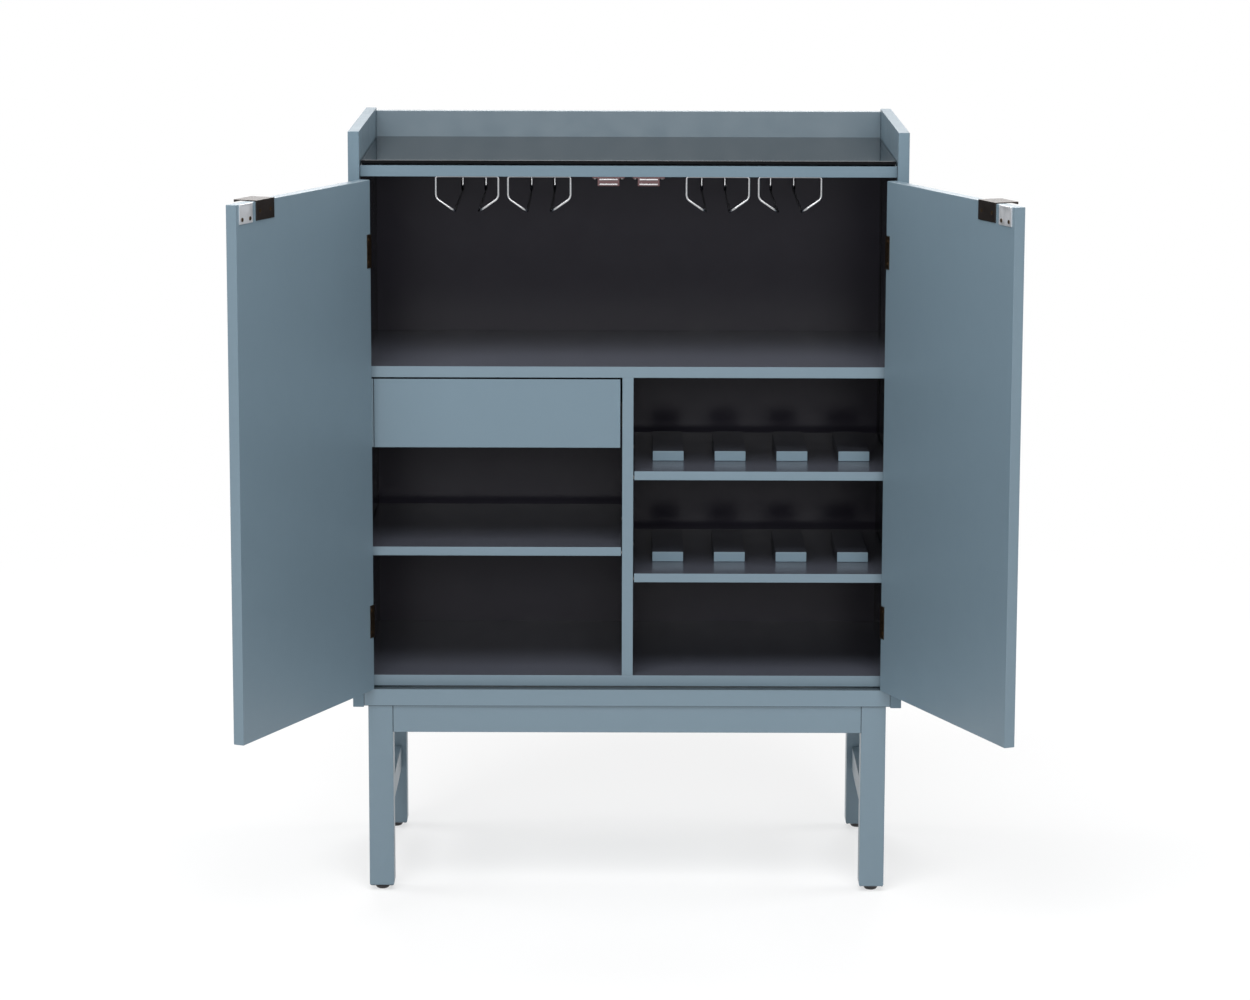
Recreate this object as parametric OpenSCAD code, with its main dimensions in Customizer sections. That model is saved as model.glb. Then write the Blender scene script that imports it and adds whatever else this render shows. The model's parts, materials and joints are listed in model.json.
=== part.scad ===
// Wine cabinet on a leg frame: two doors, a drawer, loose shelves, bottle racks and hanging stemware racks.
// Millimetres. +X is right, +Y is back, +Z is up. The origin is on the floor, at the middle of the carcass.
// The doors are drawn standing open, and the drawer closed.

/* [Carcass] */
// Width across the two side panels
cabinet_w = 800; // [760:5:900]
// Depth of the side panels
cabinet_d = 415; // [400:5:460]
// Thickness of the side panels, top, bottom, middle shelf and divider
board_t = 16; // [15:1:19]
// Clear height between the bottom board and the top board
inside_h = 730; // [700:5:820]
// Clear height below the middle shelf
lower_h = 440; // [425:5:480]
// Height of the side panels above the top board
side_over = 50; // [35:1:80]
// Height that the side panels reach below the top of the leg frame
side_drop = 2; // [0:0.5:6]
// Thickness of the back panel
back_t = 6; // [4:0.5:8]
// Distance from the back panel to the rear edge of the sides
back_set = 7; // [4:1:12]
// Depth of the grooves that hold the back panel
groove_d = 5; // [3:0.5:5]

/* [Tray top] */
// Thickness of the upstand behind the tray
gallery_t = 14; // [12:1:16]
// How far the upstand stays below the tops of the side panels
gallery_drop = 3.5; // [0:0.5:10]
// Thickness of the glass
glass_t = 5; // [4:0.5:8]
// Gap at the sides and the rear of the glass
glass_gap = 1.5; // [1:0.5:3]
// How far the front of the glass stays behind the front of the top board
glass_set = 0.5; // [0:0.5:3]
// Height of the soft pads under the glass
pad_h = 2.4; // [1.5:0.1:4]
// Distance from the edges of the tray to the pads
pad_set = 30; // [15:1:60]
// Radius of a soft pad
pad_r = 5; // [3:0.5:8]

/* [Base] */
// Height of the front rail below the doors
rail_h = 24.5; // [20:0.5:26]
// Thickness of the front rail
rail_t = 28; // [22:1:30]
// Height of the cleats between the bottom board and the leg frame
base_h = 26; // [26:1:40]
// Width of a cleat
cleat_w = 24; // [20:1:30]

/* [Leg frame] */
// Height of a leg without its glide
leg_h = 272; // [220:2:320]
// Width of a leg, which is square
leg_w = 36; // [32:1:44]
// Radius along the upright edges of a leg
leg_edge_r = 1; // [1:0.5:4]
// Distance from the outside of a side panel to a leg
leg_side_in = 22; // [18:1:30]
// Distance from the front edge of the sides to the front legs
leg_front_in = 2; // [0:0.5:6]
// Distance from the rear edge of the sides to the back legs
leg_back_in = 20; // [10:1:40]
// Height of an apron
apron_h = 40; // [30:1:60]
// Thickness of an apron
apron_t = 18; // [16:1:22]
// How far an apron stands back from the face of the legs
apron_in = 1; // [0:0.5:3]
// Height of a side stretcher
stretcher_h = 36; // [25:1:45]
// Thickness of a side stretcher
stretcher_t = 20; // [14:1:24]
// Height of the underside of a side stretcher above the floor
stretcher_z = 96; // [60:2:120]
// Height of a glide below the leg
glide_h = 7.5; // [4:0.5:10]
// Radius of a glide where it meets the leg
glide_top_r = 10.5; // [8:0.5:13]
// Radius of a glide on the floor
glide_foot_r = 6.5; // [5:0.5:8]
// Height of the glide's straight rim
glide_rim = 2; // [1:0.5:3]
// Radius of the glide's stem
stem_r = 3; // [2:0.5:4]
// Length of the glide's stem in the leg
stem_l = 22; // [15:1:30]

/* [Shelves] */
// Thickness of a loose shelf
shelf_t = 13; // [12:1:16]
// Space between a loose shelf and the back panel
shelf_back_gap = 33.5; // [2:0.5:60]
// Gap at each end of a loose shelf
shelf_gap = 1.5; // [1:0.5:3]
// Height of the underside of the left shelf above the bottom board
left_rise = 178; // [150:2:220]
// Height of the underside of the lower bottle shelf above the bottom board
low_rise = 139; // [120:1:160]
// Height of the underside of the upper bottle shelf above the bottom board
high_rise = 290; // [275:1:310]
// Radius of a shelf pin
pin_r = 2.5; // [2:0.5:3]
// Length of a shelf pin in its hole
pin_in = 8; // [6:1:10]
// Length of a shelf pin under the shelf
pin_out = 9; // [6:1:12]
// Distance from the ends of a shelf to its pins
pin_set = 40; // [25:1:60]

/* [Bottle blocks] */
// Number of blocks on a bottle shelf
block_n = 4; // [3:1:4]
// Width of a block
block_w = 46; // [36:1:50]
// Height of a block
block_h = 15; // [10:1:20]
// Length of a block
block_l = 180; // [140:5:220]
// Distance from the front of the shelf to the blocks
block_set = 90; // [60:5:110]
// Distance between the middles of two blocks
block_pitch = 91; // [84:1:94]

/* [Doors] */
// Thickness of a door
door_t = 16; // [15:1:19]
// Gap above and below a door
door_gap = 2; // [1.5:0.5:3]
// Gap between the closed doors
meeting_gap = 3; // [2:0.5:5]
// Gap between a door and its side panel
hinge_gap = 2; // [2:0.1:3]
// Gap between the back of a closed door and the boards behind it
door_back_gap = 2.5; // [2.5:0.5:5]
// Angle at which the left door stands open
open_left = 114.5; // [0:0.5:180]
// Angle at which the right door stands open
open_right = 113; // [0:0.5:180]

/* [Hinges] */
// Height of a hinge
hinge_h = 48; // [36:1:70]
// Distance from the end of the door to the hinge
hinge_end = 78; // [60:1:120]
// Outer radius of the knuckle
knuckle_r = 2.6; // [2.2:0.1:3.5]
// Radius of the hinge pin
hinge_pin_r = 1.2; // [0.8:0.1:1.5]
// Thickness of a leaf
leaf_t = 0.9; // [0.6:0.05:0.95]
// Distance from the front of the cabinet to the hinge axis
axis_out = 0.8; // [0.4:0.1:1.5]
// Depth of the leaf on the side panel
leaf_d = 24; // [20:1:30]
// Width of the leaf's flange on the back of the door
flange_w = 11; // [9:0.5:16]

/* [Pulls, strike plates and catches] */
// Width of a pull
pull_w = 49; // [30:1:60]
// Height of a pull behind the door
pull_leg = 26; // [20:1:40]
// How far a pull reaches past the front of the door
pull_reach = 18; // [12:1:25]
// Thickness of a pull
pull_t = 1.5; // [1.2:0.1:2]
// Depth of the lip under the pull's front edge
pull_lip = 3.5; // [2.5:0.5:6]
// Distance from the free edge of the door to the pull
pull_in = 53; // [48:1:80]
// Width of a strike plate
strike_w = 35.5; // [30:0.5:40]
// Height of a strike plate
strike_h = 26.5; // [22:0.5:35]
// Thickness of a strike plate
strike_t = 1.2; // [0.8:0.1:1.5]
// Distance from the free edge of the door to the strike plate
strike_in = 7.5; // [3:0.5:8]
// Distance from the lower edge of the strike plate to its screws
strike_screw_up = 6; // [4:0.5:10]
// Distance from the top of the door to the strike plate
strike_down = 0.5; // [0:0.5:3]
// Width of a catch housing
catch_w = 31; // [30:0.5:34]
// Depth of a catch housing
catch_d = 20; // [18:1:25]
// Height of a catch housing
catch_h = 13; // [12.5:0.5:18]
// Width across the ears of a catch housing
ear_span = 46; // [45:0.5:50]
// Thickness of the ears
ear_t = 2; // [1.5:0.5:3]
// Travel of the floating magnet
magnet_float = 1; // [0.5:0.1:1.2]

/* [Stemware racks] */
// Distance from the middle of the cabinet to an inner rack
rack_inner_x = 128.5; // [112:0.5:132]
// Distance from the middle of the cabinet to an outer rack
rack_outer_x = 232.5; // [230:0.5:250]
// Diameter of the wire
wire_d = 4.5; // [3.5:0.5:5]
// Width between the two uprights of a rack
rack_w = 90; // [70:1:96]
// Width between the two rails of a rack
slot_w = 35; // [25:1:45]
// Length of a rack
rack_l = 290; // [200:5:300]
// Distance from the front of the top board to a rack
rack_in = 34; // [21.5:0.5:40]
// Height from the top board down to the rails
rail_drop = 53; // [40:0.5:65]
// Height from the top board down to the bend of the uprights
knee_drop = 34; // [20:0.5:36]

/* [Drawer] */
// Height of the drawer front
drawer_front_h = 100; // [96:1:120]
// Thickness of the drawer front
drawer_front_t = 16; // [12:1:18]
// Gap above the drawer front
drawer_top_gap = 2.5; // [1.5:0.5:4]
// Gap between the drawer front and the divider
drawer_end_gap = 3; // [2:0.5:4]
// Gap between the drawer front and the packer
drawer_near_gap = 0.8; // [0.6:0.1:2]
// How much thicker the packer beside the drawer is than a door
packer_more = 0.4; // [0.4:0.1:6]
// Thickness of the drawer sides and back
drawer_side_t = 12; // [10:1:14]
// Height of the drawer sides
drawer_side_h = 75; // [60:1:78]
// Height of the drawer sides above the lower edge of the front
drawer_box_up = 8.5; // [6:0.5:12]
// Space between the closed drawer and the back panel
drawer_back_gap = 27.5; // [5:0.5:60]
// Thickness of the drawer bottom
drawer_bottom_t = 4; // [3:0.5:5]
// Height of the drawer bottom above the lower edge of the sides
drawer_bottom_z = 6; // [5:1:12]
// Depth of the grooves that hold the drawer bottom
drawer_groove = 5; // [3:0.5:6]
// Height of a runner
runner_h = 35; // [32:1:42]
// Space that a runner takes beside the drawer
runner_w = 12.7; // [12.7:0.1:14]
// Thickness of the runner's sheet
runner_sheet = 1.2; // [1:0.1:1.3]
// Diameter of a bearing ball
ball_d = 4.5; // [4:0.1:5]
// Number of balls in a row
ball_n = 6; // [3:1:7]
// Radius of the drawer's dowels
drawer_dowel_r = 3; // [2:0.5:3]
// Length of the drawer's dowels
drawer_dowel_l = 26; // [22:1:30]
// Length of the screws of the runners
runner_screw_l = 7; // [5:0.5:8]
// Gap between the drawer front and the runners
runner_front_gap = 1; // [0.5:0.5:3]
// Gap between the rim of a channel and the drawer's side
channel_mouth = 2; // [1.5:0.5:4]
// Distance from the ends of a runner to its screws
runner_screw_set = 35; // [20:1:60]
// Distance from the ends of a runner to the packer's screws
packer_screw_set = 70; // [66:1:100]
// Height of the packer's screws above the runner
packer_screw_up = 12; // [8:1:14]
// Distance from the ends of the drawer's sides to the screws of the members
member_screw_set = 60; // [40:1:90]
// Length of the screws in the drawer's sides
member_screw_l = 9; // [6:0.5:10]
// Length of a ball cage
cage_l = 160; // [140:5:160]
// Distance from the rear end of a closed runner to its ball cage
cage_back_gap = 15; // [5:1:30]
// Distance from the ends of a cage to its outer balls
ball_end = 10; // [5:1:20]
// Distance from the upper edge of the drawer's sides to the upper dowels
drawer_dowel_down = 12; // [8:1:20]

/* [Fasteners] */
// Radius of a dowel
dowel_r = 4; // [3:0.5:4]
// Length of a dowel
dowel_l = 28; // [24:1:32]
// Depth of a dowel in the board that it enters square
dowel_in = 8; // [6:0.5:9]
// Distance from the edges of a board to its first dowel
dowel_set = 45; // [30:1:70]
// Radius of the leg frame's screws
frame_screw_r = 2.5; // [2:0.25:3]
// Depth of the leg frame's screws in the cleats
frame_screw_in = 18; // [12:1:20]
// Radius of the cleats' screws
cleat_screw_r = 2; // [1.5:0.25:2.5]
// Distance between a cleat's screw and the nearest screw of the leg frame
cleat_screw_set = 60; // [20:1:80]
// Distance from the side panels to the outer screws of the back panel
back_screw_set = 60; // [30:1:90]
// Radius of the small screws
screw_r = 1.4; // [1:0.1:1.8]
// Radius of the small screws' heads
screw_head_r = 2.8; // [2.2:0.1:3]
// Length of the small screws
screw_l = 11; // [8:1:12]

/* [Hidden] */
// How much a bore is wider than what sits in it, on the radius
fit = 0.05;
// Play of a panel in its groove, on each side
groove_play = 0.2;
// Play between a turning knuckle and what it turns past
turn_play = 0.4;
// How far a cut runs past a face
past = 1;
// Sides of the round things
$fn = 48;

// Levels, from the floor up
leg_top_z = glide_h + leg_h;
bottom_z = leg_top_z + base_h;
floor_z = bottom_z + board_t;
middle_z = floor_z + lower_h;
ceiling_z = floor_z + inside_h;
top_z = ceiling_z + board_t;
side_bottom_z = leg_top_z - side_drop;
side_top_z = top_z + side_over;
glass_z = top_z + pad_h;

// Widths and depths, with Y counted from the front edge of the sides
half_w = cabinet_w / 2;
half_in = half_w - board_t;
front_set = door_t + door_back_gap;
back_face = cabinet_d - back_set - back_t;
inner_d = back_face - front_set;
shelf_d = inner_d - shelf_back_gap;
bay_x0 = board_t / 2;
bay_w = half_in - bay_x0;
bay_mid = bay_x0 + bay_w / 2;

// Leg frame
leg_x = half_w - leg_side_in - leg_w / 2;
leg_in_x = leg_x - leg_w / 2;
leg_front_y = leg_front_in + leg_w / 2;
leg_back_y = cabinet_d - leg_back_in - leg_w / 2;
apron_z = leg_top_z - apron_h;
side_apron_x = leg_x + leg_w / 2 - apron_in - apron_t / 2;
frame_screw_xs = [-cabinet_w / 4, cabinet_w / 4];
front_screw_y = (leg_front_in + apron_in + rail_t) / 2;
back_screw_y = leg_back_y + leg_w / 2 - apron_in - apron_t / 2;
side_screw_x = (side_apron_x + apron_t / 2 + half_in - cleat_w) / 2;
side_screw_in = leg_w / 2 + dowel_l;
side_screw_ys = [leg_front_y + side_screw_in, leg_back_y - side_screw_in];

// Doors and hinges
door_z0 = leg_top_z + rail_h + door_gap;
door_z1 = ceiling_z - door_gap;
free_x = -meeting_gap / 2;
hinge_x = -half_in + hinge_gap / 2;
hinge_y = -axis_out;
hinge_zs = [door_z0 + hinge_end + hinge_h / 2, door_z1 - hinge_end - hinge_h / 2];
knuckle_gap = 0.3;
knuckle_h = (hinge_h - 2 * knuckle_gap) / 3;
pin_head_h = 0.8;
leaf_screw_dz = hinge_h / 3;
leaf_screw_y = leaf_d / 2 + knuckle_r / 2;
flange_screw_x = -half_in + hinge_gap + flange_w / 2;

// Pulls, strike plates and catches, on the left
strike_z1 = door_z1 - strike_down;
strike_x = free_x - strike_in - strike_w / 2;
strike_screw_dx = strike_w * 0.3;
strike_screw_z = strike_z1 - strike_h + strike_screw_up;
pull_x = free_x - pull_in - pull_w / 2;
pull_screw_dx = pull_w * 0.3;
pull_screw_z = door_z1 - pull_leg / 2;
pull_sink = 0.8;
strike_sink = 0.4;
catch_offset = 2;
catch_x = strike_x - catch_offset;
catch_y = front_set + 0.5;
pole_w = 26;
pole_t = 1.8;
magnet_t = 5.1;
pole_l = 17.5;
magnet_play = 0.2;
catch_wall = 1.5;
pole_y = door_t + strike_t + magnet_float;
magnet_y = catch_y + catch_wall + magnet_float;
catch_barb = 2;
pack_h = 2 * pole_t + magnet_t;
pack_z = ceiling_z - catch_h + catch_wall + magnet_play / 2;

// Stemware racks
rack_xs = [-rack_outer_x, -rack_inner_x, rack_inner_x, rack_outer_x];
rack_y = front_set + rack_in;
bend_more = 0.04;
tab_w = 14;
tab_l = 16;
tab_t = 1.2;
tab_screw_in = 10;

// Drawer, in the left bay
drawer_z1 = middle_z - drawer_top_gap;
drawer_z0 = drawer_z1 - drawer_front_h;
packer_w = door_t + packer_more;
drawer_bay_w = bay_w - packer_w;
drawer_mid_x = -bay_x0 - drawer_bay_w / 2;
drawer_box_w = drawer_bay_w - 2 * runner_w;
drawer_box_z = drawer_z0 + drawer_box_up;
drawer_y = front_set + drawer_front_t;
drawer_l = back_face - drawer_back_gap - drawer_y;
drawer_in_w = drawer_box_w - 2 * drawer_side_t;
runner_z = drawer_box_z + drawer_side_h / 2;
runner_y = drawer_y + runner_front_gap;
runner_l = drawer_l - runner_front_gap;
runner_screw_ys = [runner_y + runner_screw_set, runner_y + runner_l - runner_screw_set];
packer_screw_ys = [runner_y + packer_screw_set, runner_y + runner_l - packer_screw_set];
ball_play = 0.1;
member_z = runner_h / 2 - runner_sheet - ball_d - 2 * ball_play;
ball_z = member_z + ball_d / 2 + ball_play;
ball_x = runner_w / 2;
cage_y = runner_y + runner_l - cage_l - cage_back_gap;
cage_sheet = 0.8;
channel_lip = runner_w - runner_sheet - channel_mouth;
member_lip = 3;
ball_pitch = (cage_l - 2 * ball_end) / (ball_n - 1);
drawer_dowel_zs = [drawer_box_z + drawer_side_h / 2, drawer_box_z + drawer_side_h - drawer_dowel_down];

lacquer = [0.49, 0.57, 0.62];
charcoal = [0.16, 0.16, 0.18];

// Puts what is drawn from the front edge of the sides into the cabinet's own frame
module place() {
    translate([0, -cabinet_d / 2, 0]) children();
}

// Draws a left-hand thing on its own side of the cabinet
module on(side) {
    if (side == "left") children();
    else mirror([1, 0, 0]) children();
}

// A block between two opposite corners
module block(a, b) {
    translate(a) cube(b - a);
}

// A round bar from a point along X, Y or Z
module bar_x(at, r, l) {
    translate(at) rotate([0, 90, 0]) cylinder(r = r, h = l);
}

module bar_y(at, r, l) {
    translate(at) rotate([-90, 0, 0]) cylinder(r = r, h = l);
}

module bar_z(at, r, l) {
    translate(at) cylinder(r = r, h = l);
}

// A straight piece of wire between two points, with a ball at each end that fills the bend
module wire(a, b, r) {
    ball_r = r + bend_more;
    d = b - a;
    l = norm(d);
    turn = atan2(d[1], d[0]);
    tilt = acos(d[2] / l);
    translate(a) {
        sphere(r = ball_r);
        rotate([0, tilt, turn]) cylinder(r = r, h = l);
    }
    translate(b) sphere(r = ball_r);
}

// A screw that points up from the origin, with a cross recess in its head
module screw(r, l, head_r, head_h) {
    recess = head_h * 0.7;
    slot = head_r * 0.28;
    difference() {
        union() {
            cylinder(r = r, h = l);
            translate([0, 0, -head_h]) cylinder(r = head_r, h = head_h);
        }
        for (a = [0, 90]) rotate([0, 0, a])
            translate([-head_r * 0.6, -slot / 2, -head_h - past]) cube([head_r * 1.2, slot, recess + past]);
    }
}

// The dowels, or with play the holes for them
module dowels(play) {
    ys = [front_set + dowel_set, front_set + inner_d / 2, back_face - dowel_set];
    r = dowel_r + play;
    l = dowel_l + 8 * play;
    for (side = ["left", "right"], y = ys, z = [bottom_z, middle_z, ceiling_z])
        on(side) bar_x([-half_in - dowel_in - 4 * play, y, z + board_t / 2], r, l);
    for (y = [ys[0], ys[2]]) {
        bar_z([0, y, floor_z - dowel_in - 4 * play], r, l);
        bar_z([0, y, middle_z + dowel_in - dowel_l - 4 * play], r, l);
    }
    for (x = frame_screw_xs)
        bar_z([x, cabinet_d - gallery_t / 2, top_z - dowel_in - 4 * play], r, l);
    for (side = ["left", "right"]) on(side)
        bar_x([-half_in - dowel_in - 4 * play, rail_t / 2, leg_top_z + rail_h / 2], r, l);
}

// The dowels of the leg frame, two at each end of an apron and of a stretcher
module frame_dowels(play) {
    r = dowel_r + play;
    l = dowel_l + 8 * play;
    back = 4 * play;
    front_y = leg_front_in + apron_in + apron_t / 2;
    y0 = leg_front_y + leg_w / 2;
    y1 = leg_back_y - leg_w / 2;
    for (side = ["left", "right"], k = [-1, 1]) on(side) {
        z = apron_z + apron_h / 2 + k * apron_h / 4;
        for (y = [front_y, back_screw_y]) bar_x([-leg_in_x - dowel_in - back, y, z], r, l);
        bar_y([-side_apron_x, y0 - dowel_in - back, z], r, l);
        bar_y([-side_apron_x, y1 + dowel_in + back - l, z], r, l);
        low = stretcher_z + stretcher_h / 2 + k * stretcher_h / 4;
        bar_y([-leg_x, y0 - dowel_in - back, low], r, l);
        bar_y([-leg_x, y1 + dowel_in + back - l, low], r, l);
    }
}

// The holes for the shelf pins, or the pins
module pins(play) {
    r = pin_r + play;
    ys = [front_set + pin_set, front_set + shelf_d - pin_set];
    levels = [[-1, left_rise], [1, low_rise], [1, high_rise]];
    for (level = levels, y = ys, wall = [0, 1]) {
        x = bay_x0 + wall * bay_w;
        z = floor_z + level[1] - pin_r;
        from = wall == 0 ? x - pin_in - 4 * play : x - pin_out;
        scale([level[0], 1, 1]) bar_x([from, y, z], r, pin_in + pin_out + 4 * play);
    }
}

// Side panels

module hinge_relief() {
    for (z = hinge_zs)
        bar_z([hinge_x, hinge_y, z - hinge_h / 2 - 2 * pin_head_h], knuckle_r + turn_play, hinge_h + 4 * pin_head_h);
}

module side_panel(side) {
    place() difference() {
        on(side) difference() {
            block([-half_w, 0, side_bottom_z], [-half_in, cabinet_d, side_top_z]);
            block(
                [-half_in - groove_d, back_face - groove_play, side_bottom_z - past],
                [-half_in + past, back_face + back_t + groove_play, ceiling_z + groove_d]
            );
            hinge_relief();
            for (z = hinge_zs) leaf_screw_holes(z);
        }
        dowels(fit);
        pins(fit);
        cleat_screws(fit);
        if (side == "left") packer_screws(fit);
    }
}

module side_panel_left() {
    color(lacquer) side_panel("left");
}

module side_panel_right() {
    color(lacquer) side_panel("right");
}

// Boards between the sides

module top_board() {
    color(lacquer) place() difference() {
        block([-half_in, front_set, ceiling_z], [half_in, cabinet_d, top_z]);
        block(
            [-half_in - past, back_face - groove_play, ceiling_z - past],
            [half_in + past, back_face + back_t + groove_play, ceiling_z + groove_d]
        );
        dowels(fit);
        top_screws(fit);
    }
}

module gallery_back() {
    color(lacquer) place() difference() {
        block([-half_in, cabinet_d - gallery_t, top_z], [half_in, cabinet_d, side_top_z - gallery_drop]);
        dowels(fit);
    }
}

module top_glass() {
    w = half_in - glass_gap;
    color([0.1, 0.11, 0.13]) place()
        block([-w, front_set + glass_set, glass_z], [w, cabinet_d - gallery_t - glass_gap, glass_z + glass_t]);
}

module glass_pads() {
    xs = [-half_in + pad_set, 0, half_in - pad_set];
    ys = [front_set + pad_set, cabinet_d - gallery_t - pad_set];
    color("gray") place() for (x = xs, y = ys) bar_z([x, y, top_z], pad_r, pad_h);
}

module bottom_board() {
    color(charcoal) place() difference() {
        block([-half_in, front_set, bottom_z], [half_in, back_face, floor_z]);
        dowels(fit);
        cleat_screws(fit);
        back_screws(fit);
    }
}

module middle_shelf() {
    color(charcoal) place() difference() {
        block([-half_in, front_set, middle_z], [half_in, back_face, middle_z + board_t]);
        dowels(fit);
        back_screws(fit);
    }
}

module divider() {
    color(charcoal) place() difference() {
        block([-board_t / 2, front_set, floor_z], [board_t / 2, back_face, middle_z]);
        dowels(fit);
        pins(fit);
        runner_screws(fit);
    }
}

module back_panel() {
    w = half_in + groove_d - groove_play;
    color(charcoal) place() difference() {
        block([-w, back_face, bottom_z], [w, back_face + back_t, ceiling_z + groove_d - groove_play]);
        back_screws(fit);
    }
}

module front_rail() {
    color(lacquer) place() difference() {
        block([-half_in, 0, leg_top_z], [half_in, rail_t, leg_top_z + rail_h]);
        frame_screws(fit);
        dowels(fit);
    }
}

module side_cleats() {
    color(charcoal) place() difference() {
        for (side = ["left", "right"]) on(side)
            block([-half_in, rail_t, leg_top_z], [-half_in + cleat_w, back_face, bottom_z]);
        frame_screws(fit);
        cleat_screws(fit);
    }
}

module back_cleat() {
    color(charcoal) place() difference() {
        block([-half_in + cleat_w, back_face - cleat_w, leg_top_z], [half_in - cleat_w, back_face, bottom_z]);
        frame_screws(fit);
        cleat_screws(fit);
    }
}

// Loose shelves and what they hold

module shelf(side, rise) {
    x0 = bay_x0 + shelf_gap;
    x1 = half_in - shelf_gap;
    z = floor_z + rise;
    place() on(side) block([-x1, front_set, z], [-x0, front_set + shelf_d, z + shelf_t]);
}

module blocks(rise) {
    z = floor_z + rise + shelf_t;
    y = front_set + block_set;
    place() for (i = [0 : block_n - 1]) {
        x = bay_mid + (i - (block_n - 1) / 2) * block_pitch;
        block([x - block_w / 2, y, z], [x + block_w / 2, y + block_l, z + block_h]);
    }
}

module left_shelf() {
    color(charcoal) shelf("left", left_rise);
}

module rack_shelf_upper() {
    color(charcoal) shelf("right", high_rise);
}

module rack_shelf_lower() {
    color(charcoal) shelf("right", low_rise);
}

module bottle_blocks() {
    color(lacquer) for (rise = [low_rise, high_rise]) blocks(rise);
}

module shelf_pins() {
    color("silver") place() pins(0);
}

// Leg frame

module leg(side, y) {
    s = leg_w / 2;
    r = leg_edge_r;
    color(lacquer) place() on(side) difference() {
        translate([-leg_x, y, glide_h]) linear_extrude(leg_h) union() {
            square([leg_w - 2 * r, leg_w], center = true);
            square([leg_w, leg_w - 2 * r], center = true);
            for (i = [-1, 1], j = [-1, 1]) translate([i * (s - r), j * (s - r)]) circle(r = r);
        }
        bar_z([-leg_x, y, glide_h - past], stem_r + fit, stem_l + past + 0.5);
        frame_dowels(fit);
    }
}

module leg_front_left() {
    leg("left", leg_front_y);
}

module leg_front_right() {
    leg("right", leg_front_y);
}

module leg_back_left() {
    leg("left", leg_back_y);
}

module leg_back_right() {
    leg("right", leg_back_y);
}

module front_apron() {
    y = leg_front_in + apron_in;
    color(lacquer) place() difference() {
        block([-leg_in_x, y, apron_z], [leg_in_x, y + apron_t, leg_top_z]);
        frame_screws(fit);
        frame_dowels(fit);
    }
}

module back_apron() {
    y = leg_back_y + leg_w / 2 - apron_in;
    color(lacquer) place() difference() {
        block([-leg_in_x, y - apron_t, apron_z], [leg_in_x, y, leg_top_z]);
        frame_screws(fit);
        frame_dowels(fit);
    }
}

module side_aprons() {
    y0 = leg_front_y + leg_w / 2;
    y1 = leg_back_y - leg_w / 2;
    color(lacquer) place() for (side = ["left", "right"]) on(side) difference() {
        block([-side_apron_x - apron_t / 2, y0, apron_z], [-side_apron_x + apron_t / 2, y1, leg_top_z]);
        for (y = side_screw_ys) frame_screw([-side_screw_x, y], fit);
        frame_dowels(fit);
    }
}

module side_stretchers() {
    y0 = leg_front_y + leg_w / 2;
    y1 = leg_back_y - leg_w / 2;
    color(lacquer) place() for (side = ["left", "right"]) on(side) difference() {
        block([-leg_x - stretcher_t / 2, y0, stretcher_z], [-leg_x + stretcher_t / 2, y1, stretcher_z + stretcher_h]);
        frame_dowels(fit);
    }
}

module foot_glides() {
    color([0.08, 0.08, 0.08]) place() for (side = ["left", "right"], y = [leg_front_y, leg_back_y])
        on(side) translate([-leg_x, y, 0]) rotate_extrude() polygon([
            [0, 0],
            for (a = [0 : 15 : 90])
                [glide_foot_r + (glide_top_r - glide_foot_r) * sin(a), (glide_h - glide_rim) * (1 - cos(a))],
            [glide_top_r, glide_h], [stem_r, glide_h], [stem_r, glide_h + stem_l], [0, glide_h + stem_l]
        ]);
}

// The screws that hold the carcass on the leg frame, or their holes

module frame_screw(at, play) {
    head_r = 2 * frame_screw_r;
    sink = apron_h / 3;
    under = apron_z + sink;
    l = leg_top_z + frame_screw_in - under;
    translate([at[0], at[1], under]) {
        if (play == 0) screw(frame_screw_r, l, head_r, frame_screw_r);
        else {
            cylinder(r = frame_screw_r + play, h = l + 0.5);
            translate([0, 0, -sink - past]) cylinder(r = head_r + 0.5, h = sink + past);
        }
    }
}

module frame_screws(play) {
    for (x = frame_screw_xs) {
        frame_screw([x, front_screw_y], play);
        frame_screw([x, back_screw_y], play);
    }
    for (side = ["left", "right"], y = side_screw_ys) on(side) frame_screw([-side_screw_x, y], play);
}

// Screws through the cleats: sideways into the side panels and upwards into the bottom board

module cleat_screws(play) {
    ys = [side_screw_ys[0] + cleat_screw_set, side_screw_ys[1] - cleat_screw_set];
    for (side = ["left", "right"], y = ys) on(side)
        translate([-half_in + cleat_w, y, leg_top_z + base_h / 2]) rotate([0, -90, 0])
            cleat_screw(cleat_w + board_t * 0.6, play);
    for (k = [-1, 0, 1])
        translate([k * cabinet_w / 3, back_face - cleat_w / 2, leg_top_z]) cleat_screw(base_h + board_t * 0.6, play);
}

module cleat_screw(l, play) {
    sink = 2 * cleat_screw_r;
    translate([0, 0, sink]) {
        if (play == 0) screw(cleat_screw_r, l - sink, 2 * cleat_screw_r, cleat_screw_r);
        else {
            cylinder(r = cleat_screw_r + play, h = l - sink + 0.5);
            translate([0, 0, -sink - past]) cylinder(r = 2 * cleat_screw_r + 0.5, h = sink + past);
        }
    }
}

// Screws through the back panel into the edges of the boards in front of it

module back_screws(play) {
    for (z = [bottom_z, middle_z], k = [-1, -1 / 3, 1 / 3, 1])
        translate([k * (half_in - back_screw_set), back_face + back_t, z + board_t / 2]) rotate([90, 0, 0])
            if (play == 0) screw(screw_r, back_t + screw_l, screw_head_r, screw_r);
            else cylinder(r = screw_r + play, h = back_t + screw_l + 0.5);
}

// Drawer runners, drawn from the wall that carries them towards +X

module runner_ends() {
    for (wall = [0, 1])
        translate([wall == 0 ? -half_in + packer_w : -bay_x0, 0, runner_z]) scale([1 - 2 * wall, 1, 1]) children();
}

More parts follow.
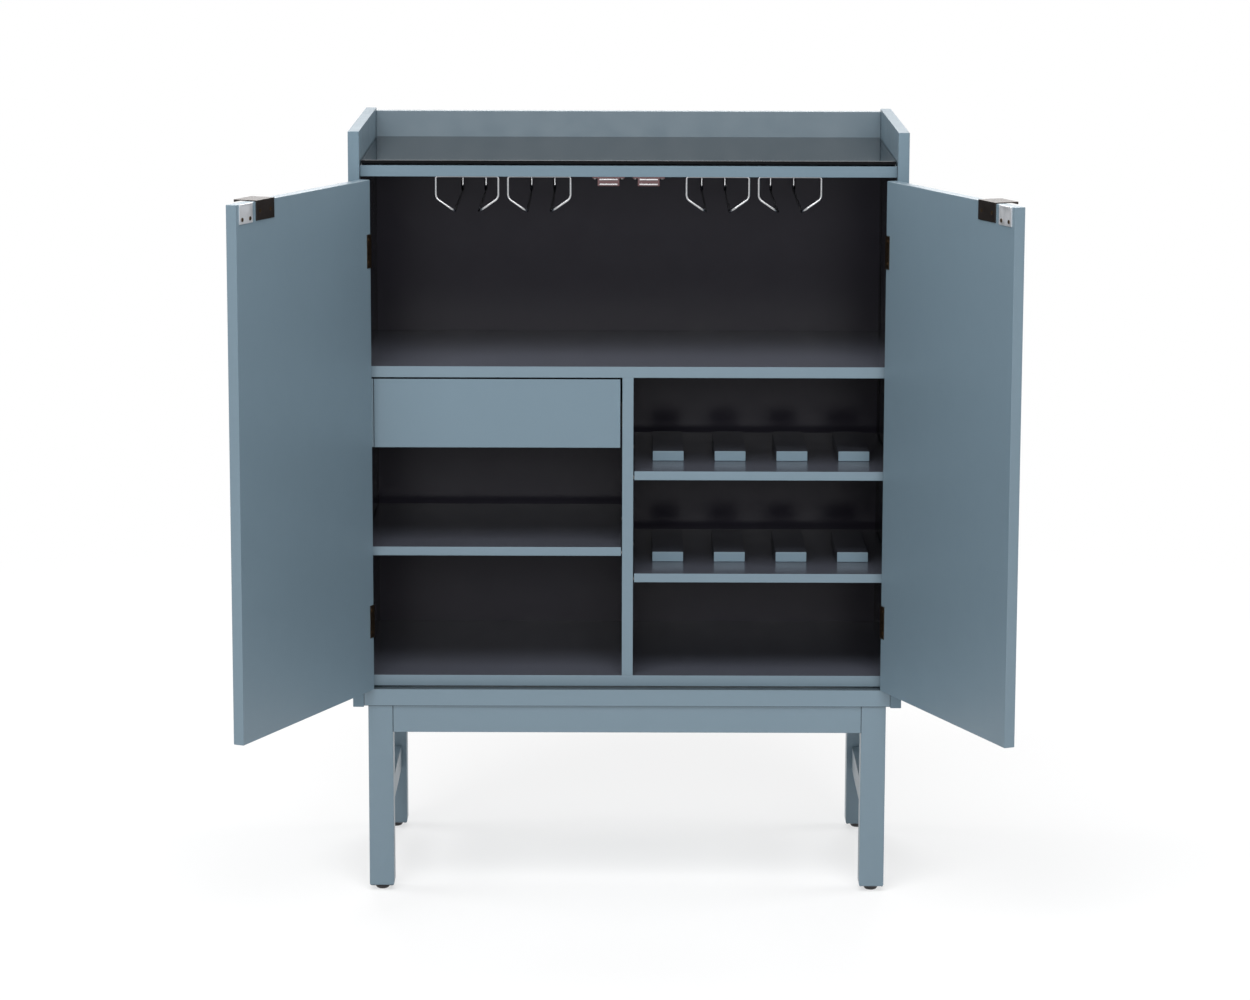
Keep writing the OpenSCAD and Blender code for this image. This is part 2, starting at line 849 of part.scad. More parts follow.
module runner_screws(play) {
    runner_ends() for (y = runner_screw_ys) {
        if (play == 0) bar_x([0, y, 0], screw_head_r, runner_sheet);
        bar_x([-runner_screw_l, y, 0], screw_r + play, runner_screw_l + (play == 0 ? runner_sheet : past));
    }
}

// The packer between the side panel and the left runner, and its screws

module drawer_packer() {
    color(lacquer) place() difference() {
        block([-half_in, front_set, drawer_z0], [-half_in + packer_w, drawer_y + drawer_l, drawer_z1]);
        runner_screws(fit);
        packer_screws(fit);
    }
}

module packer_screws(play) {
    for (y = packer_screw_ys)
        translate([-half_in + packer_w, y, runner_z + runner_h / 2 + packer_screw_up]) rotate([0, -90, 0])
            cleat_screw(packer_w + board_t * 0.6, play);
}

module drawer_runners() {
    h = runner_h / 2;
    color("silver") place() runner_ends() difference() {
        union() {
            block([0, runner_y, -h], [runner_sheet, runner_y + runner_l, h]);
            for (flip = [-1, 1]) scale([1, 1, flip])
                block([0, runner_y, h - runner_sheet], [channel_lip, runner_y + runner_l, h]);
        }
        for (y = runner_screw_ys) bar_x([-past, y, 0], screw_head_r + fit, runner_sheet + 2 * past);
    }
}

module drawer_members() {
    color("silver") place() difference() {
        runner_ends() {
            block([runner_w - runner_sheet, runner_y, -member_z], [runner_w, runner_y + runner_l, member_z]);
            for (flip = [-1, 1]) scale([1, 1, flip])
                block([member_lip, runner_y, member_z - runner_sheet], [runner_w, runner_y + runner_l, member_z]);
        }
        member_screws(fit);
    }
}

module ball_cages() {
    top = ball_z + cage_sheet / 2;
    color("gray") place() runner_ends() {
        block([runner_sheet + 0.5, cage_y, -top], [runner_sheet + 0.5 + cage_sheet, cage_y + cage_l, top]);
        for (flip = [-1, 1]) scale([1, 1, flip]) {
            block(
                [runner_sheet + 0.5, cage_y, ball_z - cage_sheet / 2],
                [ball_x + ball_d / 2 - 0.3, cage_y + cage_l, top]
            );
            for (i = [0 : ball_n - 1])
                translate([ball_x, cage_y + ball_end + i * ball_pitch, ball_z]) sphere(r = ball_d / 2, $fn = 24);
        }
    }
}

// The dowels of the drawer: the front to the sides, and the sides to the back
module drawer_pegs(play) {
    r = drawer_dowel_r + play;
    l = drawer_dowel_l + 8 * play;
    for (k = [-1, 1], z = drawer_dowel_zs) translate([drawer_mid_x, 0, z]) scale([k, 1, 1]) {
        x = drawer_box_w / 2 - drawer_side_t / 2;
        bar_y([x, drawer_y - drawer_front_t / 2 - 4 * play, 0], r, l);
        bar_x([x + 4 * play - l, drawer_y + drawer_l - drawer_side_t / 2, 0], r, l);
    }
}

// The screws that hold the runners' members on the drawer
module member_screws(play) {
    for (k = [-1, 1], y = [drawer_y + member_screw_set, drawer_y + drawer_l - member_screw_set])
        translate([drawer_mid_x + k * (drawer_box_w / 2 + runner_sheet), y, runner_z]) rotate([0, -90 * k, 0])
            if (play == 0) screw(screw_r, member_screw_l, screw_head_r, screw_r);
            else cylinder(r = screw_r + play, h = member_screw_l + 0.5);
}

// Drawer

module drawer_groove() {
    w = drawer_in_w / 2 + drawer_groove;
    z = drawer_box_z + drawer_bottom_z;
    block(
        [drawer_mid_x - w, drawer_y - drawer_groove, z - groove_play],
        [drawer_mid_x + w, drawer_y + drawer_l + past, z + drawer_bottom_t + groove_play]
    );
}

module drawer_front() {
    x0 = -half_in + packer_w + drawer_near_gap;
    x1 = -bay_x0 - drawer_end_gap;
    color(lacquer) place() difference() {
        block([x0, front_set, drawer_z0], [x1, drawer_y, drawer_z1]);
        drawer_groove();
        drawer_pegs(fit);
    }
}

module drawer_side(dir) {
    outer = drawer_box_w / 2;
    inner = drawer_in_w / 2;
    x0 = drawer_mid_x + (dir < 0 ? -outer : inner);
    color(charcoal) place() difference() {
        block([x0, drawer_y, drawer_box_z], [x0 + drawer_side_t, drawer_y + drawer_l, drawer_box_z + drawer_side_h]);
        drawer_groove();
        drawer_pegs(fit);
        member_screws(fit);
    }
}

module drawer_side_left() {
    drawer_side(-1);
}

module drawer_side_right() {
    drawer_side(1);
}

module drawer_back() {
    w = drawer_in_w / 2;
    y1 = drawer_y + drawer_l;
    z0 = drawer_box_z + drawer_bottom_z + drawer_bottom_t;
    color(charcoal) place() difference() {
        block([drawer_mid_x - w, y1 - drawer_side_t, z0], [drawer_mid_x + w, y1, drawer_box_z + drawer_side_h]);
        drawer_pegs(fit);
    }
}

module drawer_bottom() {
    w = drawer_in_w / 2 + drawer_groove - groove_play;
    z = drawer_box_z + drawer_bottom_z;
    color(charcoal) place()
        block(
            [drawer_mid_x - w, drawer_y - drawer_groove + groove_play, z],
            [drawer_mid_x + w, drawer_y + drawer_l, z + drawer_bottom_t]
        );
}

// Stemware racks

module glass_rack(x) {
    r = wire_d / 2;
    u = rack_w / 2;
    s = slot_w / 2;
    y0 = rack_y;
    y1 = rack_y + rack_l;
    top = ceiling_z - r - 2 * bend_more;
    knee = ceiling_z - knee_drop;
    low = ceiling_z - rail_drop;
    color("silver") place() translate([x, 0, 0]) difference() {
        union() {
            wire([-u, y0, top], [u, y0, top], r);
            wire([-s, y1, top], [s, y1, top], r);
            for (k = [-1, 1]) {
                wire([k * u, y0, top], [k * u, y0, knee], r);
                wire([k * u, y0, knee], [k * s, y0, low], r);
                wire([k * s, y0, low], [k * s, y1, low], r);
                wire([k * s, y1, low], [k * s, y1, top], r);
            }
            block([-tab_w / 2, y0, ceiling_z - tab_t], [tab_w / 2, y0 + tab_l, ceiling_z]);
            block([-tab_w / 2, y1 - tab_l, ceiling_z - tab_t], [tab_w / 2, y1, ceiling_z]);
        }
        for (y = [y0 + tab_screw_in, y1 - tab_screw_in])
            bar_z([0, y, ceiling_z - tab_t - past], screw_r + fit, tab_t + 2 * past);
    }
}

module glass_rack_1() {
    glass_rack(rack_xs[0]);
}

module glass_rack_2() {
    glass_rack(rack_xs[1]);
}

module glass_rack_3() {
    glass_rack(rack_xs[2]);
}

module glass_rack_4() {
    glass_rack(rack_xs[3]);
}

// Magnetic catches

module catch_housings() {
    y1 = catch_y + catch_d;
    pack_w = pole_w + 2 * magnet_play;
    color([0.42, 0.16, 0.13]) place() for (side = ["left", "right"]) on(side) translate([catch_x, 0, 0])
        difference() {
            union() {
                block([-catch_w / 2, catch_y, ceiling_z - catch_h], [catch_w / 2, y1, ceiling_z]);
                block([-ear_span / 2, catch_y, ceiling_z - ear_t], [ear_span / 2, catch_y + catch_d / 2, ceiling_z]);
            }
            block(
                [-pack_w / 2, catch_y + catch_wall, pack_z - magnet_play],
                [pack_w / 2, pole_y + pole_l, pack_z + pack_h + magnet_play]
            );
            block(
                [-pack_w / 2 + catch_barb, catch_y + catch_wall, pack_z - magnet_play],
                [pack_w / 2 - catch_barb, y1 + past, pack_z + pack_h + magnet_play]
            );
            for (z = [pack_z, pack_z + pole_t + magnet_t])
                block(
                    [-pack_w / 2, catch_y - past, z - magnet_play],
                    [pack_w / 2, catch_y + catch_wall + past, z + pole_t + magnet_play]
                );
            for (k = [-1, 1]) bar_z(
                [k * (ear_span + catch_w) / 4, catch_y + catch_d / 4, ceiling_z - catch_h - past],
                screw_r + fit, catch_h + 2 * past
            );
        }
}

module magnet(side) {
    color("lightgray") place() on(side) translate([catch_x, 0, pack_z]) {
        for (z = [0, pole_t + magnet_t])
            block([-pole_w / 2, pole_y, z], [pole_w / 2, pole_y + pole_l, z + pole_t]);
        block([-pole_w / 2, magnet_y, pole_t], [pole_w / 2, pole_y + pole_l, pole_t + magnet_t]);
    }
}

module magnet_left() {
    magnet("left");
}

module magnet_right() {
    magnet("right");
}

// Screws under the top board: two for each rack, two for each catch

module top_screw(at, under, play) {
    translate([at[0], at[1], ceiling_z - under])
        if (play == 0) screw(screw_r, screw_l, screw_head_r, screw_r);
        else cylinder(r = screw_r + play, h = screw_l + 0.5);
}

module top_screws(play) {
    for (x = rack_xs, y = [rack_y + tab_screw_in, rack_y + rack_l - tab_screw_in]) top_screw([x, y], tab_t, play);
    for (side = ["left", "right"], k = [-1, 1])
        on(side) top_screw([catch_x + k * (ear_span + catch_w) / 4, catch_y + catch_d / 4], ear_t, play);
}

module carcass_screws() {
    color("silver") place() {
        top_screws(0);
        frame_screws(0);
        runner_screws(0);
        cleat_screws(0);
        packer_screws(0);
        back_screws(0);
    }
}

// Hinges, drawn on the left with the door closed

module leaf_screw_holes(z) {
    for (k = [-1, 1])
        bar_x([-half_in - screw_l, leaf_screw_y, z + k * leaf_screw_dz], screw_r + fit, screw_l + past);
}

module knuckle(z) {
    bar_z([hinge_x, hinge_y, z], knuckle_r, knuckle_h);
}

module clear_knuckle(z) {
    bar_z([hinge_x, hinge_y, z - knuckle_gap], knuckle_r + turn_play, knuckle_h + 2 * knuckle_gap);
}

module hinge_bore(z) {
    bar_z([hinge_x, hinge_y, z - hinge_h / 2 - past], hinge_pin_r + fit, hinge_h + 2 * past);
}

module frame_leaf(z) {
    z0 = z - hinge_h / 2;
    step = knuckle_h + knuckle_gap;
    difference() {
        union() {
            difference() {
                block([-half_in, hinge_y, z0], [-half_in + leaf_t, leaf_d, z0 + hinge_h]);
                clear_knuckle(z0 + step);
            }
            knuckle(z0);
            knuckle(z0 + 2 * step);
        }
        hinge_bore(z);
        for (k = [-1, 1])
            bar_x([-half_in - past, leaf_screw_y, z + k * leaf_screw_dz], screw_head_r + fit, leaf_t + 2 * past);
    }
}

module frame_leaves() {
    color([0.42, 0.33, 0.2]) place() for (side = ["left", "right"], z = hinge_zs) on(side) frame_leaf(z);
}

module frame_leaf_screws() {
    color([0.5, 0.4, 0.22]) place() for (side = ["left", "right"], z = hinge_zs, k = [-1, 1]) on(side)
        translate([-half_in, leaf_screw_y, z + k * leaf_screw_dz]) {
            rotate([0, 90, 0]) cylinder(r = screw_head_r, h = leaf_t);
            translate([-screw_l + past, 0, 0]) rotate([0, 90, 0]) cylinder(r = screw_r, h = screw_l);
        }
}

module hinge_pins() {
    color([0.42, 0.33, 0.2]) place() for (side = ["left", "right"], z = hinge_zs) on(side) {
        bar_z([hinge_x, hinge_y, z - hinge_h / 2 - pin_head_h], hinge_pin_r, hinge_h + pin_head_h);
        bar_z([hinge_x, hinge_y, z + hinge_h / 2], hinge_pin_r * 1.6, pin_head_h);
    }
}

// Doors, drawn on the left and closed, then swung open

module swing(side) {
    open = side == "left" ? open_left : open_right;
    place() on(side) translate([hinge_x, hinge_y, 0]) rotate([0, 0, -open]) translate([-hinge_x, -hinge_y, 0]) children();
}

module door_screw(at, play) {
    translate(at) rotate([90, 0, 0])
        if (play == 0) screw(screw_r, screw_l, screw_head_r, screw_r * 0.6);
        else cylinder(r = screw_r + play, h = screw_l + 0.5);
}

module door_screws(play) {
    for (z = hinge_zs, k = [-1, 1]) door_screw([flange_screw_x, door_t + leaf_t, z + k * leaf_screw_dz], play);
    for (k = [-1, 1]) {
        door_screw([pull_x + k * pull_screw_dx, door_t + pull_t - pull_sink, pull_screw_z], play);
        door_screw([strike_x + k * strike_screw_dx, door_t + strike_t - strike_sink, strike_screw_z], play);
    }
}

module door_panel(side) {
    color(lacquer) swing(side) difference() {
        block([-half_in + hinge_gap, 0, door_z0], [free_x, door_t, door_z1]);
        hinge_relief();
        door_screws(fit);
    }
}

module door_leaf(z) {
    z0 = z - hinge_h / 2;
    step = knuckle_h + knuckle_gap;
    x = -half_in + hinge_gap;
    difference() {
        union() {
            difference() {
                union() {
                    block([x - leaf_t, hinge_y, z0], [x, door_t + leaf_t, z0 + hinge_h]);
                    block([x - leaf_t, door_t, z0], [x + flange_w, door_t + leaf_t, z0 + hinge_h]);
                }
                clear_knuckle(z0);
                clear_knuckle(z0 + 2 * step);
            }
            knuckle(z0 + step);
        }
        hinge_bore(z);
        door_screws(fit);
    }
}

module door_leaves(side) {
    color([0.42, 0.33, 0.2]) swing(side) for (z = hinge_zs) door_leaf(z);
}

module pull(side) {
    x0 = pull_x - pull_w / 2;
    x1 = pull_x + pull_w / 2;
    color([0.16, 0.13, 0.11]) swing(side) difference() {
        union() {
            block([x0, -pull_reach, door_z1], [x1, door_t + pull_t, door_z1 + pull_t]);
            block([x0, door_t, door_z1 - pull_leg], [x1, door_t + pull_t, door_z1 + pull_t]);
            block([x0, -pull_reach, door_z1 + pull_t - pull_lip], [x1, -pull_reach + pull_t, door_z1 + pull_t]);
        }
        for (k = [-1, 1]) {
            at = [pull_x + k * pull_screw_dx, door_t - past, pull_screw_z];
            bar_y(at, screw_r + fit, pull_t + 2 * past);
            bar_y(at + [0, pull_t + past - pull_sink, 0], screw_head_r + fit, past + pull_sink);
        }
    }
}

module strike_plate(side) {
    x0 = strike_x - strike_w / 2;
    x1 = strike_x + strike_w / 2;
    color([0.72, 0.72, 0.7]) swing(side) difference() {
        block([x0, door_t, strike_z1 - strike_h], [x1, door_t + strike_t, strike_z1]);
        for (k = [-1, 1]) {
            at = [strike_x + k * strike_screw_dx, door_t - past, strike_screw_z];
            bar_y(at, screw_r + fit, strike_t + 2 * past);
            bar_y(at + [0, strike_t + past - strike_sink, 0], screw_head_r + fit, past + strike_sink);
        }
    }
}

module door_left() {
    door_panel("left");
}

module door_right() {
    door_panel("right");
}

module door_leaves_left() {
    door_leaves("left");
}

module door_leaves_right() {
    door_leaves("right");
}

module door_screws_left() {
    color([0.3, 0.24, 0.16]) swing("left") door_screws(0);
}

module door_screws_right() {
    color([0.3, 0.24, 0.16]) swing("right") door_screws(0);
}

module pull_left() {
    pull("left");
}

module pull_right() {
    pull("right");
}

module strike_plate_left() {
    strike_plate("left");
}

module strike_plate_right() {
    strike_plate("right");
}

module drawer_dowels() {
    color([0.8, 0.68, 0.48]) place() drawer_pegs(0);
}

module drawer_screws() {
    color("silver") place() member_screws(0);
}

module carcass_dowels() {
    color([0.8, 0.68, 0.48]) place() {
        dowels(0);
        frame_dowels(0);
    }
}

side_panel_left();
side_panel_right();
top_board();
gallery_back();
top_glass();
glass_pads();
bottom_board();
back_panel();
middle_shelf();
divider();
front_rail();
side_cleats();
back_cleat();
left_shelf();
rack_shelf_upper();
rack_shelf_lower();
bottle_blocks();
shelf_pins();
leg_front_left();
leg_front_right();
leg_back_left();
leg_back_right();
front_apron();
back_apron();
side_aprons();
side_stretchers();
foot_glides();
drawer_packer();
drawer_runners();
glass_rack_1();
glass_rack_2();
glass_rack_3();
glass_rack_4();
catch_housings();
carcass_screws();
frame_leaves();
hinge_pins();
frame_leaf_screws();
carcass_dowels();
door_left();
door_leaves_left();
door_screws_left();
pull_left();
strike_plate_left();
door_right();
door_leaves_right();
door_screws_right();
pull_right();
strike_plate_right();
drawer_front();
drawer_side_left();
drawer_side_right();
drawer_back();
drawer_bottom();
drawer_members();
drawer_dowels();
drawer_screws();
ball_cages();
magnet_left();
magnet_right();
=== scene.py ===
import json
import math

import bmesh
import bpy
from mathutils import Matrix, Vector

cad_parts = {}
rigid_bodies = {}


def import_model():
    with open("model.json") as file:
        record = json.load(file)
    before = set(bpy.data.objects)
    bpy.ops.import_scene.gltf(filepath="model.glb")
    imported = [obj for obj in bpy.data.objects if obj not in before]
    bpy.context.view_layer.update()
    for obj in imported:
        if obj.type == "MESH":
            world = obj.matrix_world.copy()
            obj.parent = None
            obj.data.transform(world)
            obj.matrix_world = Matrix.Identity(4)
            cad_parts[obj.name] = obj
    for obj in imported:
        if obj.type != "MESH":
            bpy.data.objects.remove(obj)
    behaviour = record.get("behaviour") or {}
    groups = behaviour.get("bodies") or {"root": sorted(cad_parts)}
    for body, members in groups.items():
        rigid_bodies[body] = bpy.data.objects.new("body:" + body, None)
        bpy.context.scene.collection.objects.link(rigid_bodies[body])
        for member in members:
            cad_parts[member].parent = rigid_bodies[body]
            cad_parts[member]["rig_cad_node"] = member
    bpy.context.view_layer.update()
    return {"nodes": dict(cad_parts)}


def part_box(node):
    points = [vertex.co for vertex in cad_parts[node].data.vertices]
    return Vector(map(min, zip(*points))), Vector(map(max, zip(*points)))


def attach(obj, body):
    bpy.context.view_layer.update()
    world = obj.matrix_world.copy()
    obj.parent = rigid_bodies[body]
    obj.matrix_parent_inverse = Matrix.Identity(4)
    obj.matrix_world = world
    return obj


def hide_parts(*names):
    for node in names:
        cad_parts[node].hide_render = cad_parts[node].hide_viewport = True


# Places and sizes are in metres, in the frame of the CAD. Colours are linear.

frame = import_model()
nodes = frame["nodes"]

# What Blender opens with goes: its own mesh, lamp and camera
for thing in list(bpy.data.objects):
    if thing.type in ("CAMERA", "LIGHT") or thing.type == "MESH" and "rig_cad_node" not in thing:
        bpy.data.objects.remove(thing)


# Material nodes


def add(tree, kind, **values):
    made = tree.nodes.new(kind)
    for key, value in values.items():
        setattr(made, key, value)
    return made


def noise(tree, where, scale, detail=2.0, rough=0.5):
    n = add(tree, "ShaderNodeTexNoise")
    n.inputs["Scale"].default_value = scale
    n.inputs["Detail"].default_value = detail
    n.inputs["Roughness"].default_value = rough
    tree.links.new(where, n.inputs["Vector"])
    return n.outputs["Fac"]


def spread(tree, value, low, high, from_low=0.25, from_high=0.75):
    """The value, moved from one range to another; most of a noise lies between 0.25 and 0.75"""
    m = add(tree, "ShaderNodeMapRange")
    tree.links.new(value, m.inputs["Value"])
    m.inputs["From Min"].default_value = from_low
    m.inputs["From Max"].default_value = from_high
    m.inputs["To Min"].default_value = low
    m.inputs["To Max"].default_value = high
    return m.outputs["Result"]


def put(tree, socket, value):
    """Sets a socket to a number or a colour, or links it"""
    if isinstance(value, (int, float)):
        socket.default_value = value
    elif isinstance(value, tuple):
        socket.default_value = (*value, 1.0)
    else:
        tree.links.new(value, socket)


def blend(tree, factor, a, b, kind="RGBA"):
    m = add(tree, "ShaderNodeMix", data_type=kind)
    for key, value in (("Factor", factor), ("A", a), ("B", b)):
        put(tree, m.inputs[key], value)
    return m.outputs["Result"]


def number(tree, operation, a, b):
    m = add(tree, "ShaderNodeMath", operation=operation)
    put(tree, m.inputs[0], a)
    put(tree, m.inputs[1], b)
    return m.outputs[0]


def start(name):
    m = bpy.data.materials.new(name)
    m.use_nodes = True
    tree = m.node_tree
    shader = tree.nodes["Principled BSDF"]
    where = add(tree, "ShaderNodeTexCoord").outputs["Object"]
    return m, tree, shader, where


def bump(tree, shader, height, strength, distance):
    b = add(tree, "ShaderNodeBump")
    b.inputs["Strength"].default_value = strength
    b.inputs["Distance"].default_value = distance
    tree.links.new(height, b.inputs["Height"])
    tree.links.new(b.outputs["Normal"], shader.inputs["Normal"])


def shade(colour, k):
    return tuple(c * k for c in colour)


def mottle(tree, cloud, colour, share):
    """The colour, darker and lighter by share as the cloud goes"""
    return blend(tree, spread(tree, cloud, 0, 1),
                 shade(colour, 1 - share), shade(colour, 1 + share))


def within(tree, where, x=None, y=None, z=None):
    """1 inside a box whose x counts from the middle on both sides, 0 outside"""
    parts = add(tree, "ShaderNodeSeparateXYZ")
    tree.links.new(where, parts.inputs[0])
    result = None
    for axis, limits in (("X", x), ("Y", y), ("Z", z)):
        if limits is None:
            continue
        value = parts.outputs[axis]
        if axis == "X":
            value = number(tree, "ABSOLUTE", value, 0)
        both = number(tree, "MULTIPLY",
                      number(tree, "GREATER_THAN", value, limits[0]),
                      number(tree, "LESS_THAN", value, limits[1]))
        result = both if result is None else number(tree, "MULTIPLY", result, both)
    return result


# Materials

BLUE = (0.133, 0.190, 0.232)          # the lacquer of the outside
DARK = (0.066, 0.071, 0.090)          # shelves and boards
BLACK = (0.025, 0.024, 0.031)         # inner sides; and the drawer front behind its face, which also puts painted shade in the seams around the drawer
BACK = (0.0205, 0.0190, 0.0280)       # back panel: the inner sides' black with a violet tint of its own, made darker by painted shade
SHADOW = shade(BLUE, 0.30)            # painted shade: the hairlines at the joints, and the front rail's top


def paint(name, dark=None, tone=DARK, body=BLUE, level=0.12):
    """Sprayed satin lacquer, darker and glossier in the boxes of dark, or all over ("all")"""
    m, tree, shader, where = start(name)
    drift = noise(tree, where, scale=2.6, detail=3)
    blue = mottle(tree, drift, body, 0.025)
    charcoal = mottle(tree, drift, tone, 0.1)
    cloud = noise(tree, where, scale=30)
    satin = spread(tree, cloud, 0.34, 0.41)
    gloss = spread(tree, cloud, 0.20, 0.26)
    if dark == "all":
        colour, rough = charcoal, gloss
    elif dark is None:
        colour, rough = blue, satin
    else:
        mask = within(tree, where, **dark[0])
        for more in dark[1:]:
            mask = number(tree, "MAXIMUM", mask, within(tree, where, **more))
        colour = blend(tree, mask, blue, charcoal)
        rough = blend(tree, mask, satin, gloss, "FLOAT")
    tree.links.new(colour, shader.inputs["Base Color"])
    tree.links.new(rough, shader.inputs["Roughness"])
    shader.inputs["Specular IOR Level"].default_value = 0.5 if dark is None else level
    grain = noise(tree, where, scale=420, rough=0.6)
    bump(tree, shader, grain, strength=0.06, distance=0.0004)
    return m


def metal(name, colour, worn, rough, grain=0.0, axis=(1, 1, 1), patches=60, rim=1.0):
    """Metal with patches of wear; rim is how bright it is when seen along its surface"""
    m, tree, shader, where = start(name)
    shader.inputs["Metallic"].default_value = 1.0
    shader.inputs["Specular Tint"].default_value = (rim, rim, rim, 1.0)
    cloud = noise(tree, where, scale=patches, detail=4, rough=0.6)
    tree.links.new(blend(tree, spread(tree, cloud, 0, 1), colour, worn),
                   shader.inputs["Base Color"])
    tree.links.new(spread(tree, cloud, *rough), shader.inputs["Roughness"])
    if grain:
        stretch = add(tree, "ShaderNodeMapping")
        stretch.inputs["Scale"].default_value = axis
        tree.links.new(where, stretch.inputs["Vector"])
        brushed = noise(tree, stretch.outputs["Vector"], scale=900, detail=3)
        bump(tree, shader, brushed, strength=grain, distance=0.0002)
    return m


def plastic(name, colour, rough, grain):
    m, tree, shader, where = start(name)
    cloud = noise(tree, where, scale=90, detail=3)
    tree.links.new(mottle(tree, cloud, colour, 0.1), shader.inputs["Base Color"])
    tree.links.new(spread(tree, cloud, rough - 0.04, rough + 0.04), shader.inputs["Roughness"])
    bump(tree, shader, noise(tree, where, scale=1500), strength=grain, distance=0.0002)
    return m


def timber(name):
    m, tree, shader, where = start(name)
    wave = add(tree, "ShaderNodeTexWave", wave_type="BANDS", bands_direction="DIAGONAL")
    wave.inputs["Scale"].default_value = 120
    wave.inputs["Distortion"].default_value = 6
    wave.inputs["Detail"].default_value = 3
    tree.links.new(where, wave.inputs["Vector"])
    rings = wave.outputs["Fac"]
    tree.links.new(blend(tree, rings, (0.50, 0.34, 0.18), (0.62, 0.46, 0.27)),
                   shader.inputs["Base Color"])
    shader.inputs["Roughness"].default_value = 0.65
    bump(tree, shader, rings, strength=0.15, distance=0.0003)
    return m


def glass_black(name):
    m, tree, shader, where = start(name)
    haze = noise(tree, where, scale=6, detail=4)
    colour = blend(tree, spread(tree, haze, 0, 1), (0.0035, 0.004, 0.005), (0.005, 0.0055, 0.007))
    tree.links.new(colour, shader.inputs["Base Color"])
    tree.links.new(spread(tree, haze, 0.025, 0.05), shader.inputs["Roughness"])
    shader.inputs["Specular IOR Level"].default_value = 0.06
    return m


# Where the inside's dark lacquer lies. A limit at a face is a little under it, in the wood.
FAR = 2.0                             # outside the object
EDGE_Y = -0.1886                      # at the front edges of the boards, which stay blue
REAR_Y = 0.1950                       # at the back panel
INSIDE_X = 0.3847                     # at the inner faces of the side panels
INSIDE_Z = (0.3000, 1.0600)           # in the thickness of the bottom board and the top board
CEILING_Z = 1.0519                    # at the underside of the top board
BOTTOM_Z = 0.3212                     # at the top face of the bottom board
RAIL_Y = -0.2066                      # at the front face of the front rail, which stays blue
RAIL_Z = 0.3036                       # at the top face of the front rail, which gets a painted shade
BLOCK_Y = -0.0986                     # at the front faces of the bottle blocks, which keep a painted light: the lacquer's blue made lighter
behind_edge = {"y": (EDGE_Y, FAR)}
side_faces = {"x": (0.0, INSIDE_X), "y": (EDGE_Y, REAR_Y), "z": INSIDE_Z}
ceiling = {"y": (EDGE_Y, REAR_Y), "z": (0.0, CEILING_Z)}
bay_floor = {"y": (EDGE_Y, FAR), "z": (BOTTOM_Z, FAR)}
rail_top_shade = {"y": (RAIL_Y, FAR), "z": (RAIL_Z, FAR)}
block_rest = {"y": (BLOCK_Y, FAR)}

# Painted shade: dark hairlines where the pieces of the front meet, in place of the shade in their
# joints
SEAM = 0.0006                         # half the width of a hairline
LEG_FRAME_Z = 0.2795                  # the rail stands on the leg frame
LEG_X = 0.3420                        # the apron meets the leg
APRON_Z = 0.2395                      # the apron's lower face
RAIL_END_X = 0.3840                   # the rail meets the side panel
RAIL_END_Z = (0.2600, 0.3040)
LOW_SEAM_Y = -0.1990                  # how deep the hairlines go at the leg frame,
RAIL_SEAM_Y = -0.2050                 # and at the side panels
joint_shade_lines = [
    {"y": (-FAR, LOW_SEAM_Y), "z": (LEG_FRAME_Z - SEAM, LEG_FRAME_Z + SEAM)},
    {"x": (LEG_X - SEAM, LEG_X + SEAM), "y": (-FAR, LOW_SEAM_Y), "z": (APRON_Z, LEG_FRAME_Z)},
    {"x": (RAIL_END_X - SEAM, RAIL_END_X + SEAM), "y": (-FAR, RAIL_SEAM_Y), "z": RAIL_END_Z},
]

ALONG_Z = (1, 1, 0.1)                 # brushed upright

